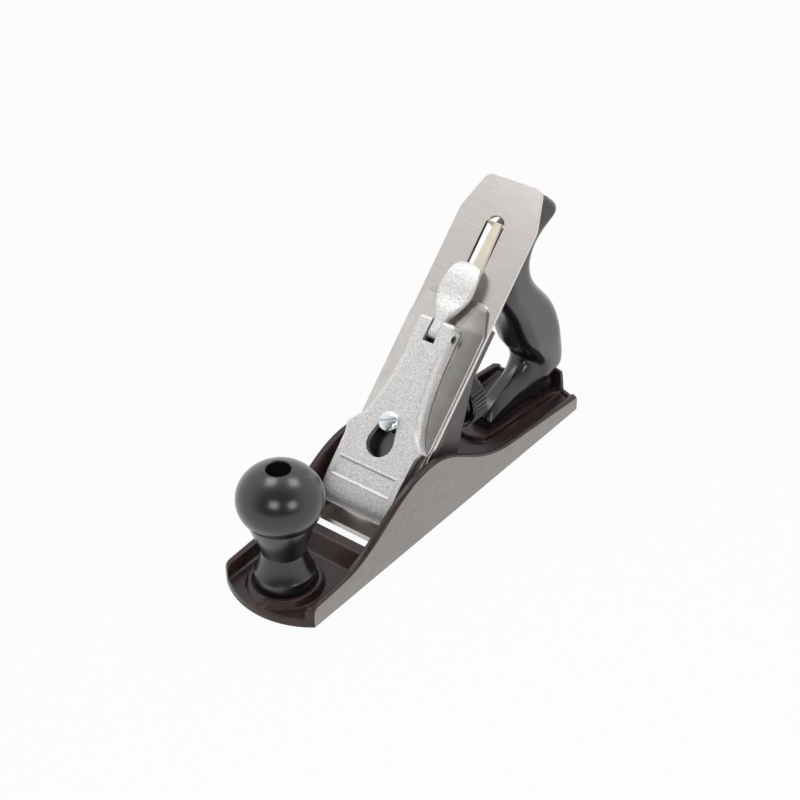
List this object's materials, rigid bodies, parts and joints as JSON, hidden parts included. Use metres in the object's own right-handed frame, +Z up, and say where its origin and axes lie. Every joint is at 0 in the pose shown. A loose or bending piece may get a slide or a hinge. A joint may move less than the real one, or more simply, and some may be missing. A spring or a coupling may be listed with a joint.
{
  "type": "hand plane",
  "caption": "Metal bench plane with a cast bed, ground cheeks, sloped slotted iron under a lever cap with cam lever, ball knob and curved black grip.",
  "frame": {"origin": "on the sole, on its centreline, midway between the toe corners and the heel corners", "axes": "+X from toe to heel along the sole, +Y across the sole, +Z up from the sole"},
  "size_m": [0.2624, 0.06, 0.152],
  "materials": {
    "painted_iron": "dark maroon enamel inside, ground bare metal on the cheeks and sole",
    "frog_paint": "brown-grey paint",
    "black_plastic": "satin black moulded plastic",
    "ground_steel": "fine cross ground",
    "cap_steel": "plain ground steel",
    "bright_casting": "bright grainy casting",
    "zinc_plate": "bluish zinc plate",
    "yellow_zinc": "pale yellow zinc plate",
    "dark_steel": "oiled steel",
    "brass": "plain turned brass"
  },
  "bodies": {
    "body": {"bed": "painted_iron", "front_knob": "black_plastic", "knob_stud": "dark_steel", "knob_nut": "brass", "tote": "black_plastic", "tote_stud": "dark_steel", "tote_nut": "brass", "frog_screws": "dark_steel", "frog_washers": "dark_steel"},
    "frog": {"frog": "frog_paint", "lever_cap_screw": "zinc_plate", "depth_stud": "dark_steel", "yoke_pin": "dark_steel", "lateral_rivet": "dark_steel"},
    "lateral_lever": {"lateral_lever": "yellow_zinc", "lateral_disc": "dark_steel"},
    "iron_screw": {"cap_iron_screw": "dark_steel"},
    "irons": {"cutting_iron": "ground_steel", "cap_iron": "cap_steel"},
    "yoke": {"yoke": "dark_steel"},
    "bush": {"depth_bush": "brass"},
    "wheel": {"depth_wheel": "black_plastic"},
    "lever_cap": {"lever_cap": "bright_casting", "cam_pin": "dark_steel", "cap_spring": "dark_steel", "spring_rivet": "dark_steel"},
    "cam_lever": {"cam_lever": "bright_casting"}
  },
  "joints": [
    {"name": "frog_slide", "type": "slide", "parent": "body", "child": "frog", "axis": [1, 0, 0], "range_m": [-0.0015, 0.0015]},
    {"name": "iron_depth", "type": "slide", "parent": "frog", "child": "iron_screw", "axis": [-0.7071, 0, -0.7071], "range_m": [0, 0.0075]},
    {"name": "iron_tilt", "type": "hinge", "parent": "iron_screw", "child": "irons", "pos_m": [-0.02916, 0, 0.03111], "axis": [-0.7071, 0, 0.7071], "range_deg": [-1, 1]},
    {"name": "lateral_swing", "type": "hinge", "parent": "frog", "child": "lateral_lever", "pos_m": [0.02784, 0, 0.08443], "axis": [-0.7071, 0, 0.7071], "range_deg": [-7.5, 7.5]},
    {"name": "yoke_rock", "type": "hinge", "parent": "frog", "child": "yoke", "pos_m": [0.01345, 0, 0.04967], "axis": [0, -1, 0], "range_deg": [0, 23.59]},
    {"name": "bush_slide", "type": "slide", "parent": "frog", "child": "bush", "axis": [1, 0, 0], "range_m": [0, 0.00438]},
    {"name": "wheel_spin", "type": "hinge", "parent": "bush", "child": "wheel", "pos_m": [0.04, 0, 0.0392], "axis": [1, 0, 0], "range_deg": [0, 1258]},
    {"name": "lever_cap_slide", "type": "slide", "parent": "frog", "child": "lever_cap", "axis": [0.7071, 0, 0.7071], "range_m": [0, 0.012]},
    {"name": "cam_swing", "type": "hinge", "parent": "lever_cap", "child": "cam_lever", "pos_m": [0.02105, 0, 0.09122], "axis": [0, -1, 0], "range_deg": [0, 100]}
  ],
  "couplings": [
    {"joint": "yoke_rock", "follows": "iron_depth", "rad_per_m": 54.772},
    {"joint": "bush_slide", "follows": "iron_depth", "ratio": 0.58189},
    {"joint": "wheel_spin", "follows": "iron_depth", "rad_per_m": 2924.9},
    {"joint": "lateral_swing", "follows": "iron_tilt", "ratio": -7.175}
  ]
}
